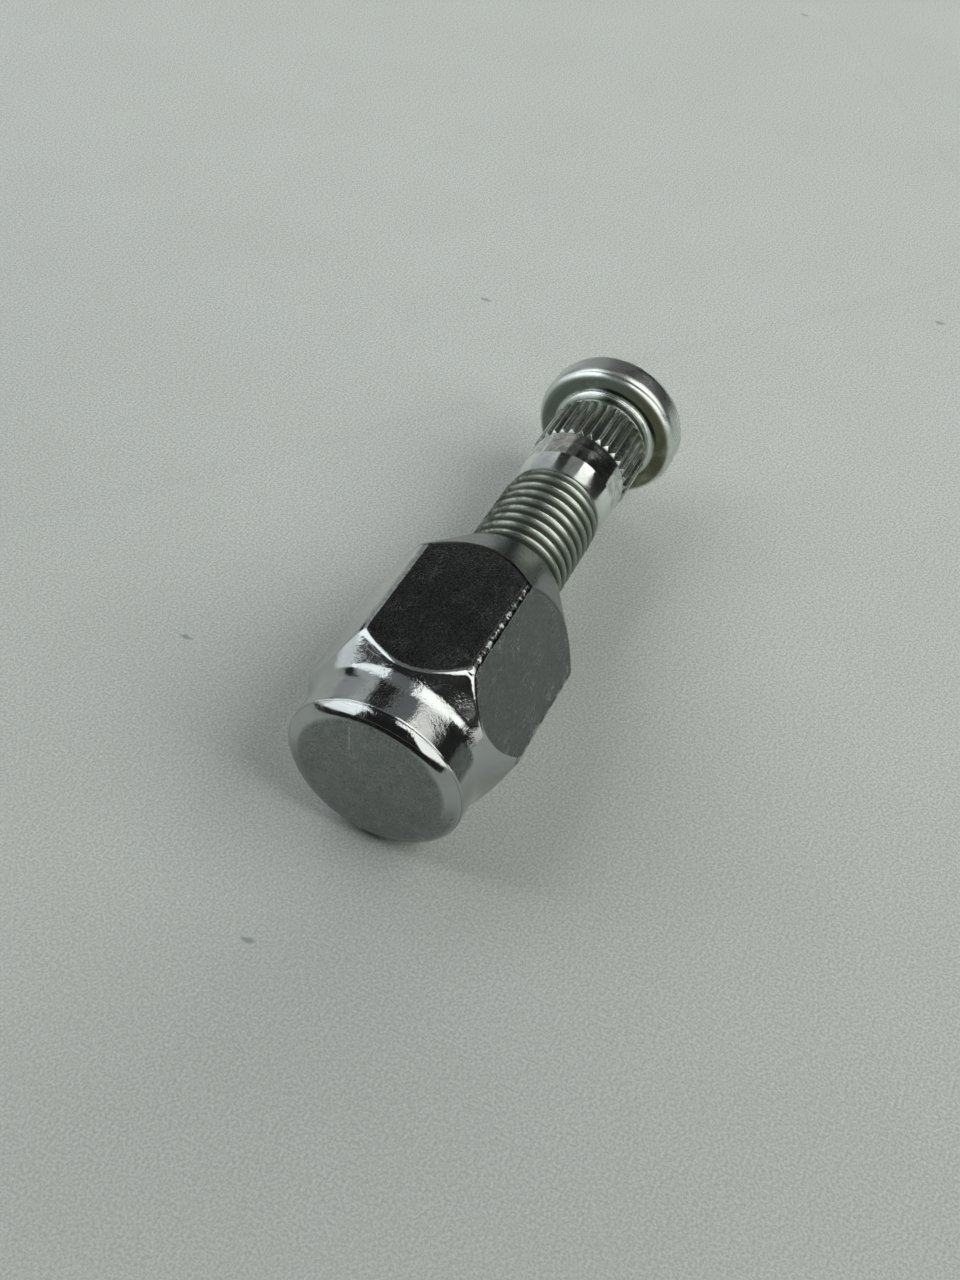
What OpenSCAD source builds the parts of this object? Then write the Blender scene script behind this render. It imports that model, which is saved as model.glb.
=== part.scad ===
// Wheel bolt: a splined press-in wheel stud with its closed-end conical-seat lug nut.
// The bolt lies on one flat of its nut. X runs along the stud towards its head, Z is up,
// and the origin is the middle of the underside of the whole part's box. Millimetres.

/* [Thread] */
// Outside diameter over the thread's crests (nominal 12, made a little under)
thread_d = 11.84; // [8:0.02:16]
// Distance from one crest to the next
thread_pitch = 1.5; // [1:0.25:2]
// Depth from crest to root
thread_depth = 0.87; // [0.5:0.01:1.3]
// Width of the flat left on each crest
thread_crest_w = 0.22; // [0.1:0.01:0.4]
// Width of the flat in each root
thread_root_w = 0.3; // [0.1:0.01:0.5]

/* [Stud] */
// Length from the tip to the underside of the head
shank_len = 43; // [30:0.5:60]
// Diameter of the plain shank between the thread and the splines
shank_d = 11.9; // [8:0.02:16]
// Length of the thread from the tip to its run-out
thread_len = 27.3; // [20:0.1:40]
// Length of the slight cone between the run-out and the plain shank
lead_len = 3.0; // [1:0.1:5]
// Diameter of that cone at its thread end
lead_d = 11.3; // [8:0.05:15]
// Diameter of the flat end of the tip
tip_d = 9.2; // [6:0.1:12]
// Length of the tip's chamfer
tip_len = 0.9; // [0.4:0.1:3]

/* [Splines] */
// Number of splines round the shank
spline_count = 32; // [20:1:48]
// Diameter over the spline crests
spline_d = 12.56; // [9:0.02:18]
// Diameter at the spline roots
spline_root_d = 11.64; // [8:0.02:17]
// Length of the splined band
spline_len = 7.2; // [4:0.1:15]
// Plain neck between the splines and the underside of the head
neck_len = 1.5; // [0.8:0.1:5]
// Length of the chamfer on each end of the splines
spline_chamfer = 0.45; // [0.2:0.05:1]
// Turn of the splines about the axis
spline_turn = 7.1; // [0:0.1:12]

/* [Head] */
// Diameter of the head
head_d = 17.9; // [14:0.1:26]
// Thickness of the head
head_t = 5.0; // [2:0.1:8]
// Rounding of the head's rim on the shank side
rim_inner_r = 1.3; // [0.2:0.05:2]
// Rounding of the head's rim on the outer side
rim_outer_r = 2.0; // [0.2:0.05:2.4]
// Rounding where the shank meets the head
neck_fillet_r = 0.5; // [0.2:0.05:1]

/* [Lug nut] */
// Width across the nut's flats
hex_af = 20.8; // [17:0.1:24]
// Diameter that the nut's six corners are rounded off to
hex_corner_d = 23.68; // [18:0.02:27]
// Length of the nut from the cap's face to the mouth
nut_len = 31.5; // [20:0.05:45]
// Diameter of the round cap
cap_d = 19.2; // [14:0.02:20]
// Wide rounding between the cap's face and its rim
cap_crown_r = 3.0; // [1.5:0.1:5]
// Slope of the rim from the axis where the wide rounding stops
cap_crown_end = 40; // [20:1:60]
// Small rounding between that and the cap's side
cap_edge_r = 0.5; // [0.3:0.05:1.5]
// Length from the cap's face to where the shoulder starts
cap_len = 5.15; // [2:0.05:8]
// Slope of the shoulder from the axis
shoulder_angle = 28.3; // [15:0.1:60]
// Hollow rounding where the cap meets the shoulder
cap_fillet_r = 4; // [0.5:0.1:5]
// Full angle of the conical seat
seat_angle = 60; // [50:1:90]
// Diameter of the mouth, where the seat's cone ends
mouth_d = 13.7; // [12:0.05:16]

/* [Nut bore] */
// Radial gap between the thread's crests and the bore
thread_clearance = 0.05; // [0.01:0.01:0.1]
// Wall left between the blind end of the bore and the cap's face
cap_wall = 3.2; // [1.5:0.1:6]
// Depth of the chamfer round the mouth
mouth_chamfer = 0.6; // [0.2:0.05:1.2]
// Length of thread inside the nut
engaged_len = 12.9; // [8:0.1:20]

/* [Hidden] */
$fn = 96;
eps = 0.01;

thread_r = thread_d / 2;
root_r = thread_r - thread_depth;
shank_r = shank_d / 2;
spline_r = spline_d / 2;
spline_root_r = spline_root_d / 2;
head_r = head_d / 2;
cap_r = cap_d / 2;
mouth_r = mouth_d / 2;
hex_corner_r = hex_corner_d / 2;
bore_r = thread_r + thread_clearance;
seat_half = seat_angle / 2;

// Stations along the axis, counted from the cap's face towards the head
tip_z = nut_len - engaged_len;
runout_z = tip_z + thread_len;
shank_z = runout_z + lead_len;
head_z = tip_z + shank_len;
end_z = head_z + head_t;
spline_end_z = head_z - neck_len;
spline_z = spline_end_z - spline_len;
total_len = end_z;

// The thread's rings, counted back from the run-out
ring_count = floor((thread_len - tip_len - thread_pitch) / thread_pitch);
flank_w = (thread_pitch - thread_crest_w - thread_root_w) / 2;

// The shoulder's and the seat's cones, where they meet the rounded-off corners
shoulder_z = cap_len + (hex_corner_r - cap_r) / tan(shoulder_angle);
seat_z = nut_len - (hex_corner_r - mouth_r) / tan(seat_half);
fillet_run = cap_fillet_r * tan(shoulder_angle / 2);

// The cap's rim: where the wide rounding starts and stops, and the small one's centre
break_r = cap_r - cap_edge_r * (1 - cos(cap_crown_end));
break_z = cap_crown_r * (1 - sin(cap_crown_end));
crown_r0 = break_r - cap_crown_r * cos(cap_crown_end);
edge_z = break_z + cap_edge_r * sin(cap_crown_end);

// One ring of the thread: up its flank, along its crest and down to the next root
function ring(i) =
    let (c = runout_z - (i + 0.25) * thread_pitch - thread_crest_w / 2)
    [
        [thread_r, c + thread_crest_w],
        [thread_r, c],
        [root_r, c - flank_w],
        [root_r, c - flank_w - thread_root_w]
    ];

// Outline of the stud from its tip to its outer face, as a half section
module stud_section() {
    difference() {
        union() {
            polygon(concat(
                [[0, end_z], [head_r - rim_outer_r, end_z]],
                [[head_r, end_z - rim_outer_r], [head_r, head_z + rim_inner_r]],
                [[head_r - rim_inner_r, head_z], [shank_r + neck_fillet_r, head_z]],
                [[shank_r, head_z - neck_fillet_r], [shank_r, spline_end_z]],
                [[spline_root_r - 0.2, spline_end_z], [spline_root_r - 0.2, spline_z]],
                [[shank_r, spline_z], [shank_r, shank_z], [lead_d / 2, runout_z]],
                [for (i = [0 : ring_count - 1]) each ring(i)],
                [[root_r, tip_z + tip_len], [tip_d / 2, tip_z], [0, tip_z]]
            ));
            translate([head_r - rim_outer_r, end_z - rim_outer_r]) circle(r = rim_outer_r);
            translate([head_r - rim_inner_r, head_z + rim_inner_r]) circle(r = rim_inner_r);
        }
        translate([shank_r + neck_fillet_r, head_z - neck_fillet_r]) circle(r = neck_fillet_r);
    }
}

// Star of the spline crests and roots
module spline_star() {
    step = 360 / spline_count;
    polygon([
        for (i = [0 : spline_count - 1])
            for (k = [0, 1])
                let (a = spline_turn + (i + k / 2) * step)
                (k == 0 ? spline_r : spline_root_r) * [cos(a), sin(a)]
    ]);
}

// Turned band that bevels both ends of the splines
module spline_envelope() {
    low = spline_root_r - 0.15;
    rotate_extrude()
        polygon([
            [0, spline_z - eps],
            [low, spline_z - eps],
            [spline_r + eps, spline_z + spline_chamfer],
            [spline_r + eps, spline_end_z - spline_chamfer],
            [low, spline_end_z + eps],
            [0, spline_end_z + eps]
        ]);
}

module splines() {
    intersection() {
        translate([0, 0, spline_z - eps])
            linear_extrude(height = spline_len + 2 * eps)
                spline_star();
        spline_envelope();
    }
}

// The wide rounding of the cap's rim
module cap_crown() {
    intersection() {
        translate([crown_r0, cap_crown_r]) circle(r = cap_crown_r);
        translate([crown_r0, 0]) square([break_r - crown_r0, break_z]);
    }
}

// Half section of the nut as turned, before its six flats
module nut_section() {
    difference() {
        union() {
            polygon([
                [0, 0],
                [crown_r0, 0],
                [crown_r0, break_z],
                [break_r, break_z],
                [cap_r, edge_z],
                [cap_r, cap_len - fillet_run],
                [cap_r + fillet_run * sin(shoulder_angle), cap_len + fillet_run * cos(shoulder_angle)],
                [hex_corner_r, shoulder_z],
                [hex_corner_r, seat_z],
                [mouth_r, nut_len],
                [0, nut_len]
            ]);
            cap_crown();
            translate([cap_r - cap_edge_r, edge_z]) circle(r = cap_edge_r);
        }
        translate([cap_r + cap_fillet_r, cap_len - fillet_run]) circle(r = cap_fillet_r);
    }
}

// The blind bore with its drilled point and the chamfer round the mouth
module nut_bore() {
    point_h = bore_r * tan(30) / 2;
    rotate_extrude()
        polygon([
            [0, cap_wall],
            [bore_r / 2, cap_wall + point_h / 2],
            [bore_r, cap_wall + point_h],
            [bore_r, nut_len - mouth_chamfer],
            [bore_r + mouth_chamfer + eps, nut_len + eps],
            [0, nut_len + eps]
        ]);
}

// Sets a piece drawn along Z down on the nut's lowest flat, along X
module laid_down() {
    translate([-total_len / 2, 0, hex_af / 2])
        rotate([0, 90, 0])
            children();
}

module wheel_stud() {
    color([0.66, 0.68, 0.64])
        laid_down()
            union() {
                rotate_extrude() stud_section();
                splines();
            }
}

module lug_nut() {
    color([0.80, 0.81, 0.82])
        laid_down()
            difference() {
                intersection() {
                    rotate_extrude() nut_section();
                    translate([0, 0, -1])
                        rotate([0, 0, 30])
                            cylinder(d = hex_af / cos(30), h = nut_len + 2, $fn = 6);
                }
                nut_bore();
            }
}

wheel_stud();
lug_nut();
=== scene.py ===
"""Looks of the wheel bolt: a splined wheel stud and its chromed closed-end lug nut."""
import math
from types import SimpleNamespace

import bpy
import numpy as np
from mathutils import Matrix, Vector


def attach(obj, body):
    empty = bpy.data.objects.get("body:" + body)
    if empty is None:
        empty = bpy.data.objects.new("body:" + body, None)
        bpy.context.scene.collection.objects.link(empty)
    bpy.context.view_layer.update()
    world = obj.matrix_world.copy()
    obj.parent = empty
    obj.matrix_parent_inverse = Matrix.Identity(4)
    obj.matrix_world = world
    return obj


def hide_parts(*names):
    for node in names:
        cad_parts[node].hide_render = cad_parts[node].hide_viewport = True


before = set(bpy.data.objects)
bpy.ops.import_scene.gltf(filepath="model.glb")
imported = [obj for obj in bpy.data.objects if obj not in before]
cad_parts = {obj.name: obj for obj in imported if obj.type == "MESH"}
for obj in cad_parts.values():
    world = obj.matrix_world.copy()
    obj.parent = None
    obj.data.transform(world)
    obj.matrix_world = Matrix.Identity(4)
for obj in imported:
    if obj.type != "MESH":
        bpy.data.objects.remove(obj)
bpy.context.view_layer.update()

MM = 0.001
TAU = 2 * math.pi

# Sizes in millimetres. Stations run along the axis, from the cap's face to the head.
TOTAL = 66.6
NUT_LEN = 31.5
HALF_FLATS = 10.4
AXIS_H = HALF_FLATS
CORNER_ROUND = 1.1
CAP_LEN = 5.13
CAP_R = 9.60
CROWN_ROUND = 3.0
CROWN_SLOPE = math.radians(40)
RIM_ROUND = 0.5
CAP_FILLET = 4.0
# slopes of the nut's two cones, from the axis
SHOULDER = math.radians(28.3)
SEAT = math.radians(30)
MOUTH_R = 6.85
MOUTH_BEVEL = 0.58
BORE_R = 5.97
BORE_END = 5.2
BORE_POINT = 3.2

TIP_Z = 18.6
RUNOUT_Z = 45.9
SHANK_Z = 48.9
SPLINE_Z = 52.9
SPLINE_END = 60.1
HEAD_Z = 61.6
TIP_R = 4.6
PITCH = 1.5
CREST_R = 5.92
ROOT_R = 5.03
# station of one crest, at the top of the thread
CREST_AT = 44.26
LEAD_R = 5.65
SHANK_R = 5.95
SPLINE_COUNT = 32
SPLINE_TURN = math.radians(7.1)
SPLINE_R = 6.28
SPLINE_ROOT_R = 5.80
NECK_FILLET = 0.5
HEAD_R = 8.95
HEAD_INNER_ROUND = 1.3
HEAD_OUTER_ROUND = 2.0
HEAD_DOME = 0.03


# Mesh helpers
def row_points(z, r, phi):
    """Points in metres from stations, radii and angles; phi runs from the top to -Y."""
    return np.stack([
        (z - TOTAL / 2) * MM + 0 * phi,
        -r * np.sin(phi) * MM,
        (AXIS_H + r * np.cos(phi)) * MM,
    ], axis=-1)


def rounded_path(corners, step=0.4, arc_step=12.0):
    """Samples a line through (z, r, rounding) corners and returns z, r, dz, dr.
    A step may be given as a fourth item, for the line that starts at that corner."""
    pts = [np.array(c[:2], float) for c in corners]
    out = []
    ends = []
    for i, c in enumerate(corners):
        rad = c[2] if len(c) > 2 else 0
        if rad and 0 < i < len(corners) - 1:
            a = pts[i - 1] - pts[i]
            b = pts[i + 1] - pts[i]
            a /= np.linalg.norm(a)
            b /= np.linalg.norm(b)
            half = math.acos(np.clip(a @ b, -1, 1)) / 2
            reach = rad / math.tan(half)
            mid = (a + b) / np.linalg.norm(a + b)
            centre = pts[i] + mid * rad / math.sin(half)
            ends.append((pts[i] + a * reach, pts[i] + b * reach, centre, rad))
        else:
            ends.append((pts[i], pts[i], None, 0))
    for i in range(len(corners)):
        start, stop, centre, rad = ends[i]
        if centre is not None:
            v0, v1 = start - centre, stop - centre
            a0 = math.atan2(v0[1], v0[0])
            turn = math.atan2(v0[0] * v1[1] - v0[1] * v1[0], v0 @ v1)
            n = max(3, int(abs(math.degrees(turn)) / arc_step) + 2)
            sign = 1 if turn > 0 else -1
            for k in range(n + 1):
                a = a0 + turn * k / n
                p = centre + rad * np.array([math.cos(a), math.sin(a)])
                out.append((*p, -sign * math.sin(a), sign * math.cos(a)))
        if i + 1 < len(corners):
            a, b = stop, ends[i + 1][0]
            length = np.linalg.norm(b - a)
            if length < 1e-6:
                continue
            d = (b - a) / length
            st = corners[i][3] if len(corners[i]) > 3 else step
            n = max(1, int(round(length / st)))
            first = 1 if centre is not None else 0
            last = n if ends[i + 1][2] is not None else n + 1
            for k in range(first, last):
                p = a + (b - a) * k / n
                out.append((*p, *d))
    return np.array(out)


def smoothstep(x, low, high):
    """0 at low and 1 at high, with a smooth rise between them."""
    t = np.clip((x - low) / (high - low), 0, 1)
    return t * t * (3 - 2 * t)


def soft_min(a, b, k):
    """The smaller of two radii, with the corner between them rounded over k."""
    h = np.maximum(k - np.abs(a - b), 0) / k
    return np.minimum(a, b) - h * h * k / 4


class Shell:
    """Collects grids of points with normals and joins them into one closed skin."""

    def __init__(self):
        self.points, self.normals, self.faces = [], [], []
        self.count = 0
        self.last = None

    def rows(self, points, normals):
        """Adds a grid of rings and joins it to the last ring before it."""
        r, c = points.shape[:2]
        idx = np.arange(r * c).reshape(r, c) + self.count
        self.points.append(points.reshape(-1, 3))
        self.normals.append(normals.reshape(-1, 3))
        self.count += r * c
        if self.last is not None:
            self.stitch(self.last, idx[0])
        self.quads(idx)
        self.last = idx[-1]

    def quads(self, idx):
        """Faces between rings that have the same number of points."""
        nxt = np.roll(idx, -1, axis=1)
        a, b, c, d = idx[:-1], nxt[:-1], nxt[1:], idx[1:]
        f = np.stack([a, b, c, d], axis=-1).reshape(-1, 4)
        self.faces.extend(map(tuple, f))

    def stitch(self, one, two):
        """Faces between two rings; one may have twice as many points as the other."""
        if len(one) == len(two):
            self.quads(np.stack([one, two]))
            return
        if len(two) == 2 * len(one):
            for j in range(len(one)):
                k = (j + 1) % len(one)
                f0, f1, f2 = two[2 * j], two[2 * j + 1], two[(2 * j + 2) % len(two)]
                self.faces += [(one[j], f1, f0), (one[j], one[k], f1), (one[k], f2, f1)]
            return
        for j in range(len(two)):
            k = (j + 1) % len(two)
            f0, f1, f2 = one[2 * j], one[2 * j + 1], one[(2 * j + 2) % len(one)]
            self.faces += [(f0, f1, two[j]), (f1, two[k], two[j]), (f1, f2, two[k])]

    def build(self, name):
        """Merges points that coincide, drops faces without area and makes the object."""
        co = np.concatenate(self.points)
        no = np.concatenate(self.normals)
        key = np.round(co / 1e-8).astype(np.int64)
        _, keep, back = np.unique(key, axis=0, return_index=True, return_inverse=True)
        back = back.ravel()
        co, no = co[keep], no[keep]
        faces = []
        for f in self.faces:
            g = []
            for i in f:
                v = int(back[i])
                if v not in g:
                    g.append(v)
            if len(g) > 2:
                faces.append(g)
        used = np.zeros(len(co), bool)
        used[[v for f in faces for v in f]] = True
        new = np.cumsum(used) - 1
        co, no = co[used], no[used]
        faces = [[int(new[v]) for v in f] for f in faces]
        mesh = bpy.data.meshes.new(name)
        mesh.from_pydata(co.tolist(), [], faces)
        mesh.polygons.foreach_set("use_smooth", [True] * len(mesh.polygons))
        no /= np.maximum(np.linalg.norm(no, axis=1, keepdims=True), 1e-12)
        mesh.normals_split_custom_set_from_vertices(no.tolist())
        mesh.update()
        obj = bpy.data.objects.new(name, mesh)
        bpy.context.scene.collection.objects.link(obj)
        return obj


def surface(z, r, dz, dr, dr_phi, phi):
    """Points and normals of a skin; dz and dr run along its profile, dr_phi round the axis."""
    s, c = np.sin(phi), np.cos(phi)
    along = np.stack([dz + 0 * phi, -dr * s, dr * c], axis=-1)
    around = np.stack([0 * r, -dr_phi * s - r * c, dr_phi * c - r * s], axis=-1)
    return row_points(z, r, phi), np.cross(around, along)


def turned(path, phi):
    """Points and normals of a profile turned round the axis."""
    z, r, dz, dr = (path[:, i][:, None] for i in range(4))
    return surface(z, np.maximum(r, 0) + 0 * phi, dz, dr, 0 * phi, phi)


def shaped(radius, z, phi, dz):
    """The same for a radius given by a function; its slopes are measured over a small step."""
    e = 1e-4
    dr = dz * (radius(z + e, phi) - radius(z - e, phi)) / (2 * e)
    dr_phi = (radius(z, phi + e) - radius(z, phi - e)) / (2 * e)
    return surface(z, radius(z, phi), dz + 0 * z, dr, dr_phi, phi)


# The lug nut
def hex_radius(phi, half, round_r):
    """Radius of a hexagon with rounded corners and a flat on top."""
    a = np.mod(phi + math.pi / 6, math.pi / 3) - math.pi / 6
    flat = half / np.cos(a)
    off = math.pi / 6 - np.abs(a)
    centre = (half - round_r) / math.cos(math.pi / 6)
    inside = np.maximum(round_r ** 2 - (centre * np.sin(off)) ** 2, 0)
    arc = centre * np.cos(off) + np.sqrt(inside)
    limit = math.pi / 6 - math.atan2((half - round_r) * math.tan(math.pi / 6), half)
    return np.where(off < limit, arc, flat)


def nut_columns():
    """Angles round the nut, closer together at the hexagon's corners."""
    near = 5.5
    corner = np.linspace(-near, near, 25)[:-1]
    flat = np.linspace(near, 60 - near, 37)[:-1]
    one = np.concatenate([corner, flat])
    return np.radians(np.concatenate([30 + 60 * k + one for k in range(6)]))


def shoulder_z(r):
    """Station where the shoulder's cone has the radius r."""
    return CAP_LEN + (r - CAP_R) / math.tan(SHOULDER)


def seat_z(r):
    """Station where the seat's cone has the radius r."""
    return NUT_LEN - (r - MOUTH_R) / math.tan(SEAT)


def nut_outer(shell, phi):
    """The nut's outside, from the middle of the cap's face to the mouth of the bore."""
    # one radius outside the hexagon's corners, and one inside its flats, where finer rows start
    outside, inside = 12.9, 10.15
    # where the cap's wide crown rounding passes into the small one of its rim
    break_r = CAP_R - RIM_ROUND * (1 - math.cos(CROWN_SLOPE))
    break_z = CROWN_ROUND * (1 - math.sin(CROWN_SLOPE))
    # the cap's face is slightly hollow
    path = rounded_path([
        (0.08, 0.0, 0, 1.2),
        (0.05, 5.0, 0, 1.2),
        (0.0, break_r - break_z * math.tan(CROWN_SLOPE), CROWN_ROUND),
        (break_z + (CAP_R - break_r) / math.tan(CROWN_SLOPE), CAP_R, RIM_ROUND),
        (CAP_LEN, CAP_R, CAP_FILLET, 0.2),
        (shoulder_z(inside), inside, 0, 0.115),
        (shoulder_z(outside), outside, 0, 1.0),
        (seat_z(outside), outside, 0, 0.115),
        (seat_z(inside), inside, 0, 0.5),
        (NUT_LEN, MOUTH_R, 0.22, 0.2),
        (NUT_LEN, BORE_R + MOUTH_BEVEL, 0.12, 0.2),
        (NUT_LEN - MOUTH_BEVEL, BORE_R, 0, 0.2),
    ], arc_step=9)
    z, r, dz, dr = (path[:, i][:, None] for i in range(4))
    ph = phi[None, :]
    # rounding where the cones meet the flats; the corners on the cap's side are rounder and higher
    crisp, rounder, higher = 0.14, 0.26, 0.08
    worn_side = smoothstep(z, 20.0, 16.0)
    worn_angle = math.radians(13)

    def skin(r, ph):
        """Radius where the turned profile r meets the hexagon."""
        off = np.abs(np.mod(ph, math.pi / 3) - math.pi / 6)
        worn = smoothstep(off, worn_angle, 0.0) * worn_side
        lift = higher * worn * smoothstep(r, 9.9, 10.9)
        return soft_min(hex_radius(ph, HALF_FLATS, CORNER_ROUND), r + lift, crisp + rounder * worn)

    e = 1e-4
    by_r = (skin(r + e, ph) - skin(r - e, ph)) / (2 * e)
    by_phi = (skin(r, ph + e) - skin(r, ph - e)) / (2 * e)
    points, normals = surface(z, skin(r, ph), dz, by_r * dr, by_phi, ph)
    # the profile starts in the middle of the cap's face, where the radius is zero
    normals[0] = (-1, 0, 0)
    shell.rows(points, normals)


def groove(u):
    """Depth, 0 to 1, of one thread turn at phase u, with the crest at u = 0."""
    crest_share, flank_share = 0.12, 0.72
    t = np.abs(np.mod(u + 0.5, 1) - 0.5) * 2
    return np.clip((t - crest_share) / flank_share, 0, 1)


def nut_inner(shell, phi):
    """The bore, with the thread's roots cut into its wall, and its blind end."""
    start = NUT_LEN - MOUTH_BEVEL
    root_depth = 0.42
    last_root, fade = 7.0, 1.5
    lead_in = 0.2

    def radius(z, phi):
        cut = root_depth * (1 - groove((z - CREST_AT) / PITCH - phi / TAU))
        cut = cut * np.clip((z - last_root) / fade, 0, 1)
        return BORE_R + cut * np.clip((start - z) / lead_in, 0, 1)

    z = np.append(np.arange(start, BORE_END, -PITCH / 8), BORE_END)[:, None]
    shell.rows(*shaped(radius, z, phi[None, :], -1.0))
    end = rounded_path([(BORE_END, BORE_R, 0), (BORE_POINT, 0.0, 0)], step=1.2)
    points, normals = turned(end, phi[None, :])
    normals[-1] = (1, 0, 0)
    shell.rows(points, normals)


def make_nut():
    """The nut's closed skin; the bore has half as many columns as the outside."""
    shell = Shell()
    phi = nut_columns()
    nut_outer(shell, phi)
    nut_inner(shell, phi[::2])
    return shell.build("lug_nut_skin")


# The wheel stud
def thread_radius(z, phi):
    """The helical thread, with its rolled run-out and the chamfered tip."""
    r = CREST_R - (CREST_R - ROOT_R) * groove((z - CREST_AT) / PITCH - phi / TAU)
    # a small rounding on the crests and a wider one in the roots
    r = soft_min(r, CREST_R - 0.012 + 0 * r, 0.05)
    r = -soft_min(-r, -ROOT_R - 0.03 + 0 * r, 0.12)
    runout = 1.15 * PITCH
    r = LEAD_R + (r - LEAD_R) * smoothstep(z, RUNOUT_Z, RUNOUT_Z - runout)
    tip_slope = 0.85
    return soft_min(r, TIP_R + (z - TIP_Z) * tip_slope, 0.15)


def thread_rows(shell, phi):
    """The tip's flat end and the thread."""
    ph = phi[None, :]
    points, normals = turned(rounded_path([(TIP_Z, 0.0, 0, 1.2), (TIP_Z, TIP_R, 0)]), ph)
    normals[:] = (-1, 0, 0)
    shell.rows(points[:-1], normals[:-1])
    # rows that follow the helix, so that every crest lies on a line of the mesh
    marks = np.array([0, .06, .12, .22, .32, .40, .46, .54, .60, .68, .78, .88, .94])
    turns_before, turns = 20, 24
    first = CREST_AT - turns_before * PITCH
    base = np.concatenate([first + (k + marks) * PITCH for k in range(turns)])
    z = np.clip(base[:, None] + PITCH * ph / TAU, TIP_Z, RUNOUT_Z)
    # rows beyond the tip and the run-out are dropped, but for one at each end
    sloping = np.nonzero(np.ptp(z, axis=1))[0]
    z = z[sloping[0] - 1:sloping[-1] + 2]
    points, normals = shaped(thread_radius, z, ph + 0 * z, 1.0)
    helix_rows(shell, points, normals, len(marks))


def helix_rows(shell, p, n, per_turn):
    """Joins rows that climb one pitch round the axis, with a shift of one turn at the seam."""
    r, c = p.shape[:2]
    idx = np.arange(r * c).reshape(r, c) + shell.count
    shell.points.append(p.reshape(-1, 3))
    shell.normals.append(n.reshape(-1, 3))
    shell.count += r * c
    nxt = np.empty_like(idx)
    nxt[:, :-1] = idx[:, 1:]
    shifted = np.arange(r) + per_turn
    nxt[:, -1] = idx[np.minimum(shifted, r - 1), 0]
    a, b, cc, d = idx[:-1], nxt[:-1], nxt[1:], idx[1:]
    shell.faces.extend(map(tuple, np.stack([a, b, cc, d], axis=-1).reshape(-1, 4)))
    # the first row closes on the tip's end circle
    shell.quads(np.stack([shell.last, idx[0]]))
    shell.last = idx[-1]


def spline_radius(z, phi):
    """Plain shank, splines with bevelled ends, and the neck behind them."""
    step = TAU / SPLINE_COUNT
    from_crest = np.abs(np.mod(phi - SPLINE_TURN + step / 2, step) - step / 2) / (step / 2)
    flank_share = 0.86
    tooth = SPLINE_R - (SPLINE_R - SPLINE_ROOT_R) * np.clip(from_crest / flank_share, 0, 1)
    tooth = soft_min(tooth, SPLINE_R - 0.045 + 0 * tooth, 0.06)
    reach = np.minimum(z - SPLINE_Z, SPLINE_END - z)
    bevel_slope = 1.05
    tooth = soft_min(tooth, SPLINE_ROOT_R + np.clip(reach, -1, 9) * bevel_slope, 0.03)
    lead = LEAD_R + (SHANK_R - LEAD_R) * (z - RUNOUT_Z) / (SHANK_Z - RUNOUT_Z)
    plain = np.minimum(lead, SHANK_R)
    splined = np.clip((reach + 0.10) / 0.2, 0, 1)
    return plain + (np.maximum(tooth, SPLINE_ROOT_R) - plain) * splined


def shank_rows(shell, phi):
    """The slight cone, the plain shank, the splines, the neck and the head."""
    ph = phi[None, :]
    # rows through the bevel at each end of the splines, counted inwards from that end
    ends = np.array([-0.11, -0.1, -0.05, 0, 0.05, 0.1, 0.11, 0.16, 0.22, 0.28, 0.34, 0.40, 0.46, 0.55])
    z = np.concatenate([
        np.linspace(RUNOUT_Z, SHANK_Z - 0.12, 8),
        np.linspace(SHANK_Z - 0.08, SHANK_Z + 0.08, 5),
        np.linspace(SHANK_Z + 0.3, SPLINE_Z - 0.2, 6),
        SPLINE_Z + ends,
        np.linspace(SPLINE_Z + 1.2, SPLINE_END - 1.2, 5),
        SPLINE_END - ends[::-1],
        [SPLINE_END + 0.3],
    ])[:, None]
    shell.rows(*shaped(spline_radius, z, ph, 1.0))
    points, normals = turned(rounded_path([
        (SPLINE_END + 0.5, SHANK_R, 0, 0.2),
        (HEAD_Z, SHANK_R, NECK_FILLET),
        (HEAD_Z, HEAD_R, HEAD_INNER_ROUND, 0.4),
        (TOTAL - HEAD_DOME, HEAD_R, HEAD_OUTER_ROUND, 0.4),
        (TOTAL, 0.0, 0, 1.0),
    ], arc_step=7), ph)
    normals[-1] = (1, 0, 0)
    shell.rows(points, normals)


def make_stud():
    """The stud's closed skin; the shank and head have twice as many columns as the thread."""
    shell = Shell()
    thread_rows(shell, np.linspace(0, TAU, 193)[:-1])
    shank_rows(shell, np.linspace(0, TAU, 385)[:-1])
    return shell.build("wheel_stud_skin")


nut = make_nut()
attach(nut, "nut")
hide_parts("lug_nut")
stud = make_stud()
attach(stud, "stud")
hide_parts("wheel_stud")


# Short forms for shader nodes
def put(tree, socket, value):
    """Links a socket to another one, or sets its plain value."""
    if isinstance(value, bpy.types.NodeSocket):
        tree.links.new(value, socket)
    else:
        socket.default_value = value


def calc(tree, op, a, b=None, clamp=False):
    """One math node."""
    n = tree.nodes.new("ShaderNodeMath")
    n.operation = op
    n.use_clamp = clamp
    put(tree, n.inputs[0], a)
    if b is not None:
        put(tree, n.inputs[1], b)
    return n.outputs[0]


def total(tree, *terms):
    """Adds its terms up."""
    out = terms[0]
    for x in terms[1:]:
        out = calc(tree, "ADD", out, x)
    return out


def times(tree, *terms):
    """Multiplies its terms."""
    out = terms[0]
    for x in terms[1:]:
        out = calc(tree, "MULTIPLY", out, x)
    return out


def split(tree, point):
    """The three coordinates of a point."""
    n = tree.nodes.new("ShaderNodeSeparateXYZ")
    tree.links.new(point, n.inputs[0])
    return n.outputs


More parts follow.
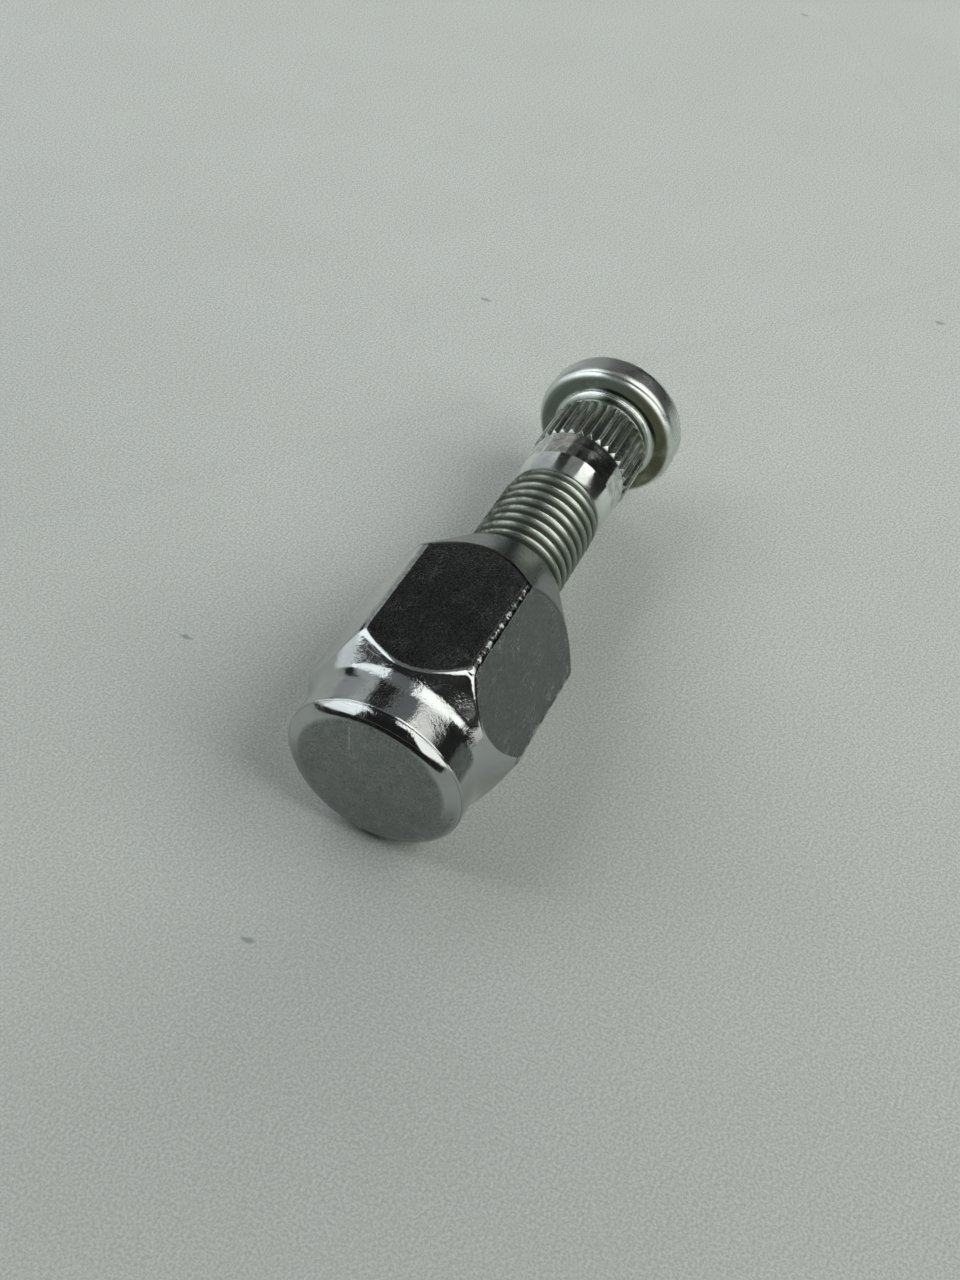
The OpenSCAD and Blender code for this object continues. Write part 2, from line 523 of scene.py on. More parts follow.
def vector(tree, op, a, b=None, scale=None):
    """One vector math node."""
    n = tree.nodes.new("ShaderNodeVectorMath")
    n.operation = op
    put(tree, n.inputs[0], a)
    if b is not None:
        put(tree, n.inputs[1], b)
    if scale is not None:
        put(tree, n.inputs["Scale"], scale)
    return n.outputs[1] if op in ("LENGTH", "DOT_PRODUCT", "DISTANCE") else n.outputs[0]


def smooth(tree, value, low, high, start=0.0, stop=1.0):
    """Goes smoothly from start to stop while the value goes from low to high."""
    n = tree.nodes.new("ShaderNodeMapRange")
    n.interpolation_type = "SMOOTHSTEP"
    for name, v in (("Value", value), ("From Min", low), ("From Max", high),
                    ("To Min", start), ("To Max", stop)):
        put(tree, n.inputs[name], v)
    return n.outputs[0]


def between(tree, value, start, full, fade, end):
    """1 while the value lies between full and fade, and smoothly 0 at start and end."""
    return times(tree, smooth(tree, value, start, full), smooth(tree, value, end, fade))


def noise(tree, point, scale, detail=2.0, rough=0.5, distort=0.0):
    """Noise from 0 to 1."""
    n = tree.nodes.new("ShaderNodeTexNoise")
    for name, v in (("Vector", point), ("Scale", scale), ("Detail", detail),
                    ("Roughness", rough), ("Distortion", distort)):
        put(tree, n.inputs[name], v)
    return n.outputs[0]


def noise_colour(tree, point, scale):
    """Three noises at once, as a vector that bends other patterns."""
    n = tree.nodes.new("ShaderNodeTexNoise")
    put(tree, n.inputs["Vector"], point)
    put(tree, n.inputs["Scale"], scale)
    return n.outputs["Color"]


def blend(tree, factor, a, b):
    """Mixes two colours."""
    n = tree.nodes.new("ShaderNodeMix")
    n.data_type = "RGBA"
    put(tree, n.inputs[0], factor)
    put(tree, n.inputs[6], a)
    put(tree, n.inputs[7], b)
    return n.outputs[2]


def new_group(name, ins, outs):
    """A node group with its input and output sockets."""
    g = bpy.data.node_groups.new(name, "ShaderNodeTree")
    for label, kind, value in ins:
        s = g.interface.new_socket(label, in_out="INPUT", socket_type="NodeSocket" + kind)
        if value is not None:
            s.default_value = value
    for label, kind in outs:
        g.interface.new_socket(label, in_out="OUTPUT", socket_type="NodeSocket" + kind)
    return g, g.nodes.new("NodeGroupInput").outputs, g.nodes.new("NodeGroupOutput").inputs


def use(tree, group, **inputs):
    """Places a group in a tree and returns its outputs."""
    n = tree.nodes.new("ShaderNodeGroup")
    n.node_tree = group
    for k, v in inputs.items():
        put(tree, n.inputs[k], v)
    return n.outputs


# Shared effects
def hairlines_group():
    """Long thin scratches that run one way, as the level lines of a stretched noise."""
    g, i, o = new_group("hairlines", [("Point", "Vector", None), ("Turn", "Vector", (0, 0, 0)),
                                      ("Stretch", "Vector", (1, 1, 1)), ("Width", "Float", 0.01)],
                        [("Mask", "Float")])
    m = g.nodes.new("ShaderNodeMapping")
    put(g, m.inputs["Vector"], i["Point"])
    put(g, m.inputs["Rotation"], i["Turn"])
    put(g, m.inputs["Scale"], i["Stretch"])
    n = noise(g, m.outputs[0], 1.0, 1.5, 0.5, 0.3)
    off = calc(g, "ABSOLUTE", calc(g, "SUBTRACT", n, 0.5))
    line = smooth(g, off, 0.0, i["Width"], 1.0, 0.0)
    gaps = smooth(g, noise(g, i["Point"], 420.0, 1.0), 0.46, 0.60)
    g.links.new(calc(g, "MULTIPLY", line, gaps), o["Mask"])
    return g


def specks_group(name="specks", dimensions="3D"):
    """Sparse specks; a share of the cells keeps its speck. The flat kind suits a level surface."""
    g, i, o = new_group(name, [("Point", "Vector", None), ("Scale", "Float", 100.0),
                               ("Size", "Float", 0.1), ("Share", "Float", 0.3)],
                        [("Mask", "Float")])
    v = g.nodes.new("ShaderNodeTexVoronoi")
    v.voronoi_dimensions = dimensions
    put(g, v.inputs["Vector"], i["Point"])
    put(g, v.inputs["Scale"], i["Scale"])
    sep = g.nodes.new("ShaderNodeSeparateColor")
    g.links.new(v.outputs["Color"], sep.inputs[0])
    near = smooth(g, v.outputs["Distance"], calc(g, "MULTIPLY", i["Size"], 0.4), i["Size"], 1.0, 0.0)
    kept = calc(g, "LESS_THAN", sep.outputs[0], i["Share"])
    g.links.new(calc(g, "MULTIPLY", near, kept), o["Mask"])
    return g


def nick_group():
    """One straight nick between two points."""
    g, i, o = new_group("nick", [("Point", "Vector", None), ("Start", "Vector", (0, 0, 0)),
                                 ("End", "Vector", (0, 0, 0)), ("Width", "Float", 0.0001)],
                        [("Mask", "Float")])
    along = vector(g, "SUBTRACT", i["End"], i["Start"])
    here = vector(g, "SUBTRACT", i["Point"], i["Start"])
    t = calc(g, "DIVIDE", vector(g, "DOT_PRODUCT", here, along),
             vector(g, "DOT_PRODUCT", along, along), clamp=True)
    gap = vector(g, "LENGTH", vector(g, "SUBTRACT", here, vector(g, "SCALE", along, scale=t)))
    g.links.new(smooth(g, gap, calc(g, "MULTIPLY", i["Width"], 0.4), i["Width"], 1.0, 0.0), o["Mask"])
    return g


def facing_group():
    """How closely a surface faces a direction: 1 on that face, 0 elsewhere."""
    g, i, o = new_group("facing", [("Normal", "Vector", None), ("Direction", "Vector", (0, 0, 1)),
                                   ("From", "Float", 0.98), ("Full", "Float", 0.995)],
                        [("Mask", "Float")])
    d = vector(g, "DOT_PRODUCT", i["Normal"], i["Direction"])
    g.links.new(smooth(g, d, i["From"], i["Full"]), o["Mask"])
    return g


def place_group():
    """Station along the axis and distance from it, in millimetres."""
    g, i, o = new_group("place", [("Point", "Vector", None)],
                        [("Station", "Float"), ("Radius", "Float")])
    x = calc(g, "MULTIPLY", calc(g, "ADD", split(g, i["Point"])[0], TOTAL / 2 * MM), 1000.0)
    flat = vector(g, "MULTIPLY", vector(g, "SUBTRACT", i["Point"], (0, 0, AXIS_H * MM)), (0, 1, 1))
    r = calc(g, "MULTIPLY", vector(g, "LENGTH", flat), 1000.0)
    g.links.new(x, o["Station"])
    g.links.new(r, o["Radius"])
    return g


hairlines, specks, nick, facing, place = (
    f() for f in (hairlines_group, specks_group, nick_group, facing_group, place_group))
flat_specks = specks_group("flat_specks", "2D")


# Materials
def material(name):
    """A new material with its tree, its shader and the object's own coordinates."""
    m = bpy.data.materials.new(name)
    m.use_nodes = True
    t = m.node_tree
    coords = t.nodes.new("ShaderNodeTexCoord")
    return m, t, t.nodes["Principled BSDF"], coords.outputs["Object"], coords.outputs["Normal"]


def add_bump(t, shader, height, distance):
    """Small relief, in metres for a height of 1."""
    b = t.nodes.new("ShaderNodeBump")
    b.inputs["Strength"].default_value = 1.0
    b.inputs["Distance"].default_value = distance
    put(t, b.inputs["Height"], height)
    t.links.new(b.outputs[0], shader.inputs["Normal"])


def faces(t, normal, direction, start, full):
    """Mask of the surfaces that face a direction."""
    return use(t, facing, Normal=normal, Direction=direction, From=start, Full=full)["Mask"]


def scratches(t, point, turn, stretch, width):
    """Mask of fine scratches that run one way."""
    return use(t, hairlines, Point=point, Turn=turn, Stretch=stretch, Width=width)["Mask"]


# The nut's colours
CHROME = (0.500, 0.523, 0.515, 1)
CHROME_CLOUDY = (0.450, 0.472, 0.464, 1)
DULL_DARK = (0.215, 0.234, 0.226, 1)
DULL_PALE = (0.395, 0.420, 0.410, 1)
DULL_STAIN = (0.175, 0.190, 0.182, 1)
# painted shade for the slanted near flat and the cap's face
FLAT_PAINTED_SHADE = (0.05, 0.055, 0.052, 1)
SWIRL_DARK = (0.150, 0.163, 0.157, 1)
SWIRL_PALE = (0.740, 0.770, 0.755, 1)
LINE_PALE = (0.80, 0.83, 0.82, 1)
PIT_DARK = (0.09, 0.10, 0.095, 1)
SCRATCH_PALE = (0.75, 0.77, 0.76, 1)
# the seat's dull metal darkened by painted reflection, and its darkest painted reflection
SEAT_DULL_AND_SHADED = (0.150, 0.159, 0.153, 1)
SEAT_PAINTED_REFLECTION = (0.030, 0.034, 0.030, 1)
CHIP_DARK = (0.02, 0.022, 0.021, 1)
CUT_DARK = (0.03, 0.03, 0.03, 1)

# Ends of the long scratch on the cap's face and of the cut on the far flat, in metres
SCRATCH = ((-0.03325, 0.00232, 0.01720), (-0.03325, 0.00222, 0.01390))
CUT = ((-0.01240, 0.01000, 0.01390), (-0.01100, 0.01005, 0.01380))
NICK_WIDTH = 0.00011
BUMP_DEPTH = 0.00001


def chrome_areas(t, point, normal):
    """Where each finish of the nut lies, as masks; y and z are in metres."""
    spot = use(t, place, Point=point)
    station, radius = spot["Station"], spot["Radius"]
    _, y, z = split(t, point)
    slant = (0, -math.sin(math.pi / 3), math.cos(math.pi / 3))
    top = faces(t, normal, (0, 0, 1), 0.985, 0.998)
    side = faces(t, normal, slant, 0.985, 0.998)
    # the lower part of the cap's rim is as dull as its face, and takes the same painted shade
    low_rim = times(t, faces(t, normal, (-1, 0, 0), 0.66, 0.86), smooth(t, z, 0.0125, 0.0080))
    face = calc(t, "MAXIMUM", faces(t, normal, (-1, 0, 0), 0.93, 0.99), low_rim)
    collar = times(t, between(t, station, 0.5, 1.3, 7.0, 9.5), calc(t, "SUBTRACT", 1.0, top))
    off_flats = calc(t, "SUBTRACT", 1.0, calc(t, "MAXIMUM", top, side))
    # the hexagon's corners, more chipped on the near side
    edge = times(t, smooth(t, radius, 11.62, 11.72), smooth(t, station, 7.5, 9.5), off_flats,
                 smooth(t, y, 0.0045, 0.0, 0.25, 1.0))
    seat_r = total(t, times(t, calc(t, "SUBTRACT", NUT_LEN, station), math.tan(SEAT)), MOUTH_R)
    cone = times(t, smooth(t, calc(t, "SUBTRACT", radius, seat_r), -0.30, -0.12),
                 smooth(t, station, 20.6, 21.0))
    return SimpleNamespace(top=top, side=side, face=face, dull=calc(t, "MAXIMUM", side, face),
                           collar=collar, edge=edge, cone=cone, station=station, y=y, z=z)


def chrome_marks(t, point):
    """The nut's textures, scratches and nicks, wherever they are used."""
    lines = calc(t, "MAXIMUM", scratches(t, point, (0, 0, 0.5), (150, 1500, 600), 0.012),
                 scratches(t, point, (0, 0.2, -0.9), (130, 1300, 500), 0.010))
    return SimpleNamespace(
        cloud=noise(t, point, 260.0, 4.0, 0.55, 0.4),
        fine=noise(t, point, 2300.0, 3.0, 0.55, 0.6),
        peel=noise(t, point, 2500.0, 2.0, 0.55, 0.3),
        grit=noise(t, point, 4600.0, 2.0, 0.6, 0.2),
        patch=smooth(t, noise(t, point, 330.0, 1.0), 0.42, 0.62, 0.25, 1.0),
        lines=calc(t, "MAXIMUM", lines, scratches(t, point, (0.7, 0.3, 0.1), (500, 160, 1400), 0.012)),
        pits=use(t, specks, Point=point, Scale=900.0, Size=0.20, Share=0.20)["Mask"],
        scratch=use(t, nick, Point=point, Start=SCRATCH[0], End=SCRATCH[1], Width=NICK_WIDTH)["Mask"],
        cut=use(t, nick, Point=point, Start=CUT[0], End=CUT[1], Width=NICK_WIDTH)["Mask"])


def chrome_tone(t, point, area, mark):
    """The nut's colour: chrome, with each duller finish laid over it in turn, painted shade on the
    slanted flat and the cap's face, and a painted dark reflection on the seat.
    """
    tone = blend(t, smooth(t, mark.cloud, 0.35, 0.7), CHROME, CHROME_CLOUDY)
    speckle = total(t, times(t, mark.fine, 0.45), times(t, mark.grit, 0.55))
    dulled = blend(t, smooth(t, speckle, 0.38, 0.62), DULL_DARK, DULL_PALE)
    stains = smooth(t, noise(t, point, 520.0, 4.0, 0.7, 0.8), 0.46, 0.66)
    dulled = blend(t, times(t, stains, 0.30), dulled, DULL_STAIN)
    tone = blend(t, times(t, area.dull, 0.9), tone, dulled)
    # painted shade: the slanted near flat, and less so the cap's face, darkened further
    tone = blend(t, total(t, times(t, area.side, 0.60), times(t, area.face, 0.32)), tone, FLAT_PAINTED_SHADE)
    # the swirls of a scuffed upper flat
    swirl = noise(t, vector(t, "MULTIPLY", point, (1.0, 2.0, 1.0)), 1900.0, 4.0, 0.75, 2.4)
    swirled = blend(t, smooth(t, swirl, 0.42, 0.60), SWIRL_DARK, SWIRL_PALE)
    tone = blend(t, times(t, area.top, 0.8), tone, swirled)
    weaker_on_face = smooth(t, area.face, 0.0, 1.0, 0.22, 0.10)
    tone = blend(t, times(t, mark.lines, area.dull, weaker_on_face), tone, LINE_PALE)
    tone = blend(t, times(t, mark.pits, area.dull, 0.65), tone, PIT_DARK)
    tone = blend(t, times(t, mark.scratch, 0.35), tone, SCRATCH_PALE)
    # the seat: dull metal darkened all over by a painted dark reflection, darkest in a patch on its
    # upper near side
    dark_reflection_patch = times(t, between(t, area.y, -0.0068, -0.0050, -0.0012, 0.0018),
                  smooth(t, mark.cloud, 0.30, 0.60, 0.6, 1.0), smooth(t, area.z, 0.0120, 0.0140))
    tone = blend(t, times(t, area.cone, 0.95), tone, blend(t, dark_reflection_patch, SEAT_DULL_AND_SHADED, SEAT_PAINTED_REFLECTION))
    chips = smooth(t, noise(t, point, 1250.0, 1.5, 0.5, 0.5), 0.47, 0.53)
    tone = blend(t, times(t, area.edge, chips, 0.85), tone, CHIP_DARK)
    return blend(t, times(t, mark.cut, 0.7), tone, CUT_DARK)


def chrome_relief(t, area, mark):
    """Orange peel on the collar, chipped corners, fine grain and scratches."""
    wavy = times(t, area.collar, smooth(t, area.station, 5.2, 6.8, 1.0, 0.40), mark.patch)
    peel = total(t, times(t, wavy, 3.0), times(t, area.edge, 6.0))
    grit = total(t, times(t, wavy, 2.6), times(t, area.top, 1.2))
    fine = total(t, times(t, area.top, 0.45), times(t, area.dull, 0.30), 0.05)
    lines = smooth(t, area.face, 0.0, 1.0, -0.10, -0.03)
    return total(t, times(t, mark.peel, peel), times(t, mark.grit, grit), times(t, mark.fine, fine),
                 times(t, mark.lines, lines), times(t, mark.cut, -2.0))


def make_chrome():
    """Chrome with an orange-peel skin on the cap, dull faces with painted shade, a painted dark
    reflection on the seat, and handling scratches.
    """
    m, t, shader, point, normal = material("nut_chrome")
    area = chrome_areas(t, point, normal)
    mark = chrome_marks(t, point)
    put(t, shader.inputs["Base Color"], chrome_tone(t, point, area, mark))
    put(t, shader.inputs["Metallic"], 1.0)
    put(t, shader.inputs["Roughness"], total(
        t, smooth(t, mark.cloud, 0.3, 0.7, 0.05, 0.10), times(t, area.dull, 0.16),
        times(t, area.top, 0.05), times(t, mark.lines, 0.10), times(t, area.collar, 0.03),
        times(t, area.cone, 0.16)))
    add_bump(t, shader, chrome_relief(t, area, mark), BUMP_DEPTH)
    return m


# The stud's colours
ZINC = (0.76, 0.81, 0.76, 1)
ZINC_CLOUDY = (0.65, 0.70, 0.66, 1)
THREAD_GREEN = (0.52, 0.595, 0.52, 1)
# painted shade on the thread's far and near sides
THREAD_FAR_PAINTED_SHADE = (0.075, 0.074, 0.058, 1)
THREAD_NEAR_PAINTED_SHADE = (0.17, 0.205, 0.165, 1)
ROOT_DIRT_AND_SHADE = (0.050, 0.056, 0.042, 1)
SPLINE_GRAY = (0.50, 0.545, 0.495, 1)
SPLINE_RUBBED = (0.31, 0.345, 0.315, 1)
GROOVE_DIRT_AND_SHADE = (0.13, 0.145, 0.115, 1)
NECK_PAINTED_SHADE = (0.195, 0.217, 0.195, 1)
BAND_DARK = (0.37, 0.40, 0.38, 1)
BAND_PALE = (0.75, 0.785, 0.76, 1)
LEAD_PAINTED_SHEEN = (0.90, 0.94, 0.92, 1)
HEAD_GRAY = (0.57, 0.605, 0.575, 1)
STAIN_GREEN = (0.20, 0.23, 0.20, 1)
STAIN_BROWN = (0.135, 0.140, 0.084, 1)
CREASE_PAINTED_SHADE = (0.018, 0.020, 0.017, 1)


def zinc_areas(t, point):
    """Where each part of the stud lies, as masks; y and z are in metres."""
    spot = use(t, place, Point=point)
    station, radius = spot["Station"], spot["Radius"]
    _, y, z = split(t, point)
    thread = smooth(t, station, RUNOUT_Z + 0.2, RUNOUT_Z - 0.6)
    splines = between(t, station, SPLINE_Z - 0.1, SPLINE_Z + 0.1, SPLINE_END - 0.1, SPLINE_END + 0.1)
    band = between(t, station, RUNOUT_Z, SHANK_Z, SPLINE_Z - 0.3, SPLINE_Z)
    # the head's underside beside the neck
    under = times(t, between(t, station, HEAD_Z - 0.3, HEAD_Z - 0.05, HEAD_Z + 0.25, HEAD_Z + 0.65),
                  between(t, radius, 6.45, 6.7, 8.1, 8.6))
    # painted shade: a dark crescent in the corner between the neck and the head, on its upper near
    # side
    crease_shade = times(t, between(t, station, HEAD_Z - 0.3, HEAD_Z - 0.1, HEAD_Z + 0.15, HEAD_Z + 0.3),
                   between(t, radius, 6.35, 6.5, 6.85, 7.1),
                   smooth(t, y, 0.0024, 0.0002), smooth(t, z, 0.0112, 0.0136))
    return SimpleNamespace(
        thread=thread, splines=splines, band=band, under=under, crease_shade=crease_shade,
        root=times(t, thread, smooth(t, radius, 5.84, 5.40)),
        groove=times(t, splines, smooth(t, radius, 6.1, 5.85)),
        lead=times(t, band, smooth(t, station, SHANK_Z + 0.1, SHANK_Z - 0.1)),
        neck=between(t, station, SPLINE_END - 0.1, SPLINE_END + 0.1, HEAD_Z - 0.65, HEAD_Z - 0.45),
        head=smooth(t, station, HEAD_Z + 0.2, HEAD_Z + 1.0),
        # the thread's far and near sides, where shade is painted
        far_side_shade=smooth(t, y, -0.0012, 0.0036),
        near_side_shade=smooth(t, y, -0.0034, -0.0054),
        brown_side=smooth(t, y, 0.001, -0.007))


def zinc_tone(t, point, area, cloud, fine):
    """The stud's colour: zinc, with each part's own wear and dirt laid over it in turn, painted shade
    on the thread's sides, in its roots, on the neck and in the corner by the head, and a painted sheen
    on the lead-in cone.
    """
    tone = blend(t, smooth(t, cloud, 0.3, 0.7), ZINC, ZINC_CLOUDY)
    tone = blend(t, times(t, area.thread, smooth(t, fine, 0.30, 0.6, 0.6, 1.0)), tone, THREAD_GREEN)
    tone = blend(t, times(t, area.splines, smooth(t, fine, 0.30, 0.6, 0.5, 1.0)), tone, SPLINE_GRAY)
    rubbed = smooth(t, noise(t, point, 620.0, 3.0, 0.65, 0.8), 0.40, 0.62)
    tone = blend(t, times(t, area.splines, rubbed, 0.55), tone, SPLINE_RUBBED)
    patchy = smooth(t, rubbed, 0.0, 1.0, 0.65, 0.95)
    # painted shade: the thread nearly black, unevenly, on its far side, and darker on its near side
    tone = blend(t, times(t, area.thread, area.far_side_shade, patchy), tone, THREAD_FAR_PAINTED_SHADE)
    tone = blend(t, times(t, area.thread, area.near_side_shade, 0.62), tone, THREAD_NEAR_PAINTED_SHADE)
    # painted shade on the neck between the splines and the head
    tone = blend(t, times(t, area.neck, 0.7), tone, NECK_PAINTED_SHADE)
    mottle = smooth(t, noise(t, point, 700.0, 3.0, 0.6, 1.0), 0.36, 0.62)
    tone = blend(t, times(t, area.band, 0.85), tone, blend(t, mottle, BAND_DARK, BAND_PALE))
    # painted sheen: the lead-in cone paler than the rest of the band
    tone = blend(t, times(t, area.lead, 0.8), tone, LEAD_PAINTED_SHEEN)
    # dirt and painted shade in the thread's roots and the splines' grooves
    tone = blend(t, times(t, area.root, 0.93), tone, ROOT_DIRT_AND_SHADE)
    tone = blend(t, times(t, area.groove, 0.6), tone, GROOVE_DIRT_AND_SHADE)
    tone = blend(t, times(t, area.head, smooth(t, cloud, 0.3, 0.65, 0.5, 0.9)), tone, HEAD_GRAY)
    stain = blend(t, area.brown_side, STAIN_GREEN, STAIN_BROWN)
    tone = blend(t, times(t, area.under, smooth(t, cloud, 0.25, 0.5, 0.65, 0.97)), tone, stain)
    # painted shade in the corner by the head
    return blend(t, times(t, area.crease_shade, 0.95), tone, CREASE_PAINTED_SHADE)


def make_zinc():
    """Zinc plating with a faint green tint, dirt and painted shade in the thread's roots and a stained
    ring.
    """
    m, t, shader, point, _ = material("stud_metal")
    area = zinc_areas(t, point)
    cloud = noise(t, point, 300.0, 4.0, 0.55, 0.5)
    fine = noise(t, point, 2600.0, 3.0, 0.6, 0.3)
    lines = scratches(t, point, (0.2, 0.1, 0.1), (1500, 200, 200), 0.02)
    put(t, shader.inputs["Base Color"], zinc_tone(t, point, area, cloud, fine))
    put(t, shader.inputs["Metallic"], 1.0)
    put(t, shader.inputs["Roughness"], total(
        t, smooth(t, cloud, 0.3, 0.7, 0.17, 0.28), times(t, area.thread, 0.05),
        times(t, area.root, 0.2), times(t, area.under, 0.16), times(t, area.band, -0.13),
        times(t, area.head, 0.07), times(t, lines, 0.05)))
    relief = total(t, times(t, fine, total(t, times(t, area.thread, 0.4), 0.45)),
                   times(t, cloud, 1.5), times(t, lines, -0.15))
    add_bump(t, shader, relief, BUMP_DEPTH)
    return m


# The table's colours
TABLE_NEAR_SHADED = (0.356, 0.382, 0.362, 1)
TABLE_FAR = (0.446, 0.475, 0.455, 1)
TABLE_CLOUD = (0.30, 0.31, 0.29, 1)
TABLE_GRAIN = (0.225, 0.24, 0.225, 1)
TABLE_SPECK = (0.12, 0.12, 0.11, 1)
GRAIN_DEPTH = 0.00006


def make_table():
    """A pale gray-green table top with fine grain and a few specks, and painted shade that darkens it
    towards the near side.
    """
    m, t, shader, point, _ = material("table_top")
    grain = noise(t, point, 3500.0, 3.0, 0.75)
    soft = noise(t, point, 60.0, 3.0, 0.5)
    # painted shade: darker towards the near side
    tone = blend(t, smooth(t, split(t, point)[0], -0.09, 0.10), TABLE_NEAR_SHADED, TABLE_FAR)
    tone = blend(t, times(t, smooth(t, soft, 0.3, 0.7), 0.10), tone, TABLE_CLOUD)
    tone = blend(t, smooth(t, grain, 0.35, 0.65, 0.0, 0.72), tone, TABLE_GRAIN)
    # specks with uneven outlines, a little longer one way
    bent = vector(t, "ADD", point, vector(t, "SCALE", noise_colour(t, point, 700.0), scale=0.0012))
    long_way = vector(t, "MULTIPLY", bent, (1.0, 0.45, 1.0))
    dots = use(t, flat_specks, Point=long_way, Scale=34.0, Size=0.016, Share=0.42)["Mask"]
    tone = blend(t, times(t, dots, 0.55), tone, TABLE_SPECK)
    put(t, shader.inputs["Base Color"], tone)
    put(t, shader.inputs["Roughness"], 0.6)
    put(t, shader.inputs["Specular IOR Level"], 0.0)
    add_bump(t, shader, grain, GRAIN_DEPTH)
    return m


nut.data.materials.append(make_chrome())
stud.data.materials.append(make_zinc())


# The table and the room
def place_in_scene(name, data):
    """A new object for a mesh, a light or a camera, in the scene's collection."""
    obj = bpy.data.objects.new(name, data)
    bpy.context.scene.collection.objects.link(obj)
    return obj


def sheet(name, corners, finish):
    """A flat sheet with four corners and one material."""
    mesh = bpy.data.meshes.new(name)
    mesh.from_pydata(corners, [], [(0, 1, 2, 3)])
    mesh.materials.append(finish)
    return place_in_scene(name, mesh)


def level(corners, height):
    """The corners of a level sheet."""
    return [(x, y, height) for x, y in corners]


def square(half):
    """The corners of a square round the origin."""
    return [(-half, -half), (half, -half), (half, half), (-half, half)]


FLOOR_HALF = 1.5
floor = sheet("floor", level(square(FLOOR_HALF), 0), make_table())

ROOM_DARK = (0.020, 0.022, 0.021, 1)
ROOM_PALE = (0.40, 0.428, 0.41, 1)


def make_room():
    """A room that is pale to the camera and in the metal, and gives the table hardly any light."""
    world = bpy.data.worlds.new("room")
    world.use_nodes = True
    tree = world.node_tree
    path = tree.nodes.new("ShaderNodeLightPath")
    kinds = ("Camera", "Glossy", "Transmission")
    seen = total(tree, *(path.outputs["Is %s Ray" % kind] for kind in kinds))
    tone = blend(tree, calc(tree, "MINIMUM", seen, 1.0), ROOM_DARK, ROOM_PALE)
    put(tree, tree.nodes["Background"].inputs["Color"], tone)
    return world


bpy.context.scene.world = make_room()

# Lights overhead
CEILING = 0.8
WARM, COOL = (1.0, 0.99, 0.96), (0.93, 0.97, 1.0)


def panel(name, x, y, colour, radiance):
    """A flat light overhead that the metal mirrors, given by its edges in units of its height."""
    light = bpy.data.lights.new(name, "AREA")
    light.shape = "RECTANGLE"
    light.size = (x[1] - x[0]) * CEILING
    light.size_y = (y[1] - y[0]) * CEILING
    light.color = colour
    light.energy = radiance * math.pi * light.size * light.size_y
    obj = place_in_scene(name, light)
    obj.location = ((x[0] + x[1]) / 2 * CEILING, (y[0] + y[1]) / 2 * CEILING, CEILING)
    obj.visible_diffuse = False
    return obj


def soft_panel(name, x, y, colour, radiance):
    """The same for the table top alone, so that its shadows are set apart from the mirrored lights."""
    obj = panel(name, x, y, colour, radiance)
    obj.visible_diffuse = True
    obj.visible_glossy = False
    return obj


panel("panel_warm", (-0.2, 0.5), (-2.6, -0.12), WARM, 1.93)
panel("panel_warm_soft", (0.5, 1.12), (-1.6, -0.33), WARM, 1.2)
panel("panel_warm_near", (-1.7, -0.74), (-2.6, -0.12), WARM, 1.93)
panel("panel_cool", (-0.21, 0.3), (0.48, 3.1), COOL, 1.73)
panel("panel_cool_near", (-1.7, -0.45), (0.62, 3.1), COOL, 1.73)
panel("panel_dim", (0.3, 1.1), (0.74, 2.2), COOL, 0.50)
panel("panel_gap", (-0.2, 0.55), (-0.12, 0.48), COOL, 0.173)
panel("panel_gap_far", (0.55, 0.98), (-0.33, 0.22), COOL, 0.16)
soft_panel("soft_left", (-0.5, 0.5), (0.5, 2.1), COOL, 6.5)
soft_panel("soft_right", (-0.45, 0.75), (-2.1, -0.5), WARM, 9.3)
# the third one stands upright beyond the bolt
soft_far = soft_panel("soft_far", (-0.36, 0.36), (-1.9, 1.9), WARM, 10.3)
soft_far.location = (1.5, 0.9, 0.42)
soft_far.rotation_euler = (0, math.pi / 2, 0)


# Cards round the table
def card(name, corners, colour, glow):
    """A studio card that the metal mirrors and the camera doesn't see."""
    m = bpy.data.materials.new(name)
    m.use_nodes = True
    shader = m.node_tree.nodes["Principled BSDF"]
    shader.inputs["Base Color"].default_value = (0.01, 0.01, 0.01, 1)
    shader.inputs["Roughness"].default_value = 1
    shader.inputs["Specular IOR Level"].default_value = 0
    shader.inputs["Emission Color"].default_value = (*colour, 1)
    shader.inputs["Emission Strength"].default_value = glow
    obj = sheet(name, corners, m)
    obj.visible_camera = False
    obj.visible_diffuse = False
    obj.visible_shadow = False


def wall(name, start, stop, low, high, colour, glow):
    """An upright card from one floor point to another."""
    (x0, y0), (x1, y1) = start, stop
    card(name, [(x0, y0, low), (x1, y1, low), (x1, y1, high), (x0, y0, high)], colour, glow)


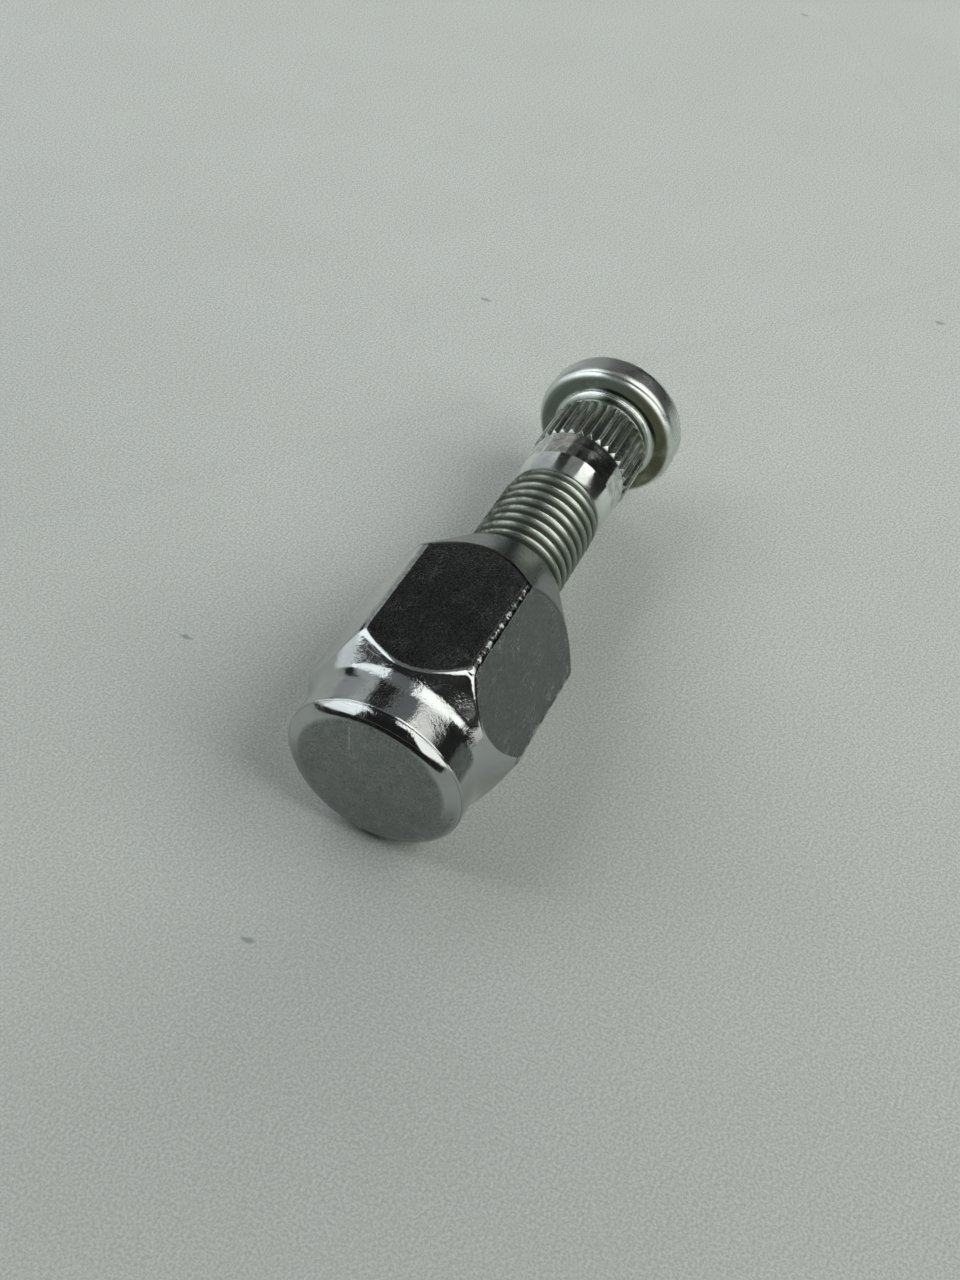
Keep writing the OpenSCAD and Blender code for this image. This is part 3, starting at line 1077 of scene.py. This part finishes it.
# dark flags, where the photographed metal mirrors a dark room
FLAG_TOP, FLAG_REACH = 1.6, 10
FLAG_TONE = (0.95, 1.0, 0.97)
FLAG_GLOW, DARK_GLOW = 0.021, 0.004
DARK_FRONT = [(-0.08, 0.25), (-0.5, 0.6), (-0.5, -0.6), (-0.08, -0.035)]
JUST_ABOVE_TABLE = 0.0004
card("flag_above", level(square(FLAG_REACH), FLAG_TOP), FLAG_TONE, FLAG_GLOW)
wall("flag_far_right", (2.4, 0.45), (2.4, -3.5), -0.05, FLAG_TOP, FLAG_TONE, FLAG_GLOW)
wall("flag_right", (2.4, -3.5), (0.1, -3.5), -0.05, FLAG_TOP, FLAG_TONE, FLAG_GLOW)
wall("dark_side", (-0.7, -0.22), (-0.7, 0.36), -0.05, 0.30, WARM, DARK_GLOW)
card("dark_front", level(DARK_FRONT, JUST_ABOVE_TABLE), WARM, DARK_GLOW)
# the far wall and the windows
wall("far_wall_dim", (1.6, 0.20), (1.6, 0.75), -0.1, 1.5, WARM, 0.113)
wall("far_wall", (1.6, 0.75), (1.6, 1.40), -0.1, 1.5, WARM, 0.333)
wall("window_far_left", (1.6, 1.40), (1.6, 2.5), 0.0, 1.5, COOL, 0.41)
wall("window_left", (-1.4, 2.5), (0.4, 2.5), 0.0, 0.8, COOL, 0.97)
wall("window_front_left", (-1.4, 0.7), (-1.4, 2.5), 0.0, 0.8, COOL, 1.6)
wall("window_front_right", (-1.4, -2.1), (-1.4, -0.45), 0.0, 0.8, WARM, 1.73)
wall("window_right", (-1.4, -2.1), (0.1, -2.1), 0.0, 0.36, WARM, 1.07)

# The camera, fitted to the photo: its place in metres and the directions it is turned by
LENS, SENSOR = 41.55, 36
CAMERA_AT = (-0.112629, -0.0382262, 0.1243761)
CAMERA_RIGHT = Vector((0.423132, -0.901897, 0.086844))
CAMERA_UP = Vector((0.63382, 0.363123, 0.682945))
CAMERA_AHEAD = Vector((0.647481, 0.233933, -0.725289))
lens = bpy.data.cameras.new("camera")
lens.lens = LENS
lens.sensor_width = SENSOR
lens.clip_start = 0.005
lens.clip_end = 10
camera = place_in_scene("camera", lens)
turn = Matrix((CAMERA_RIGHT, CAMERA_UP, -CAMERA_AHEAD)).transposed().to_4x4()
turn.translation = CAMERA_AT
camera.matrix_world = turn
bpy.context.scene.camera = camera
bpy.context.scene.view_settings.view_transform = "Standard"
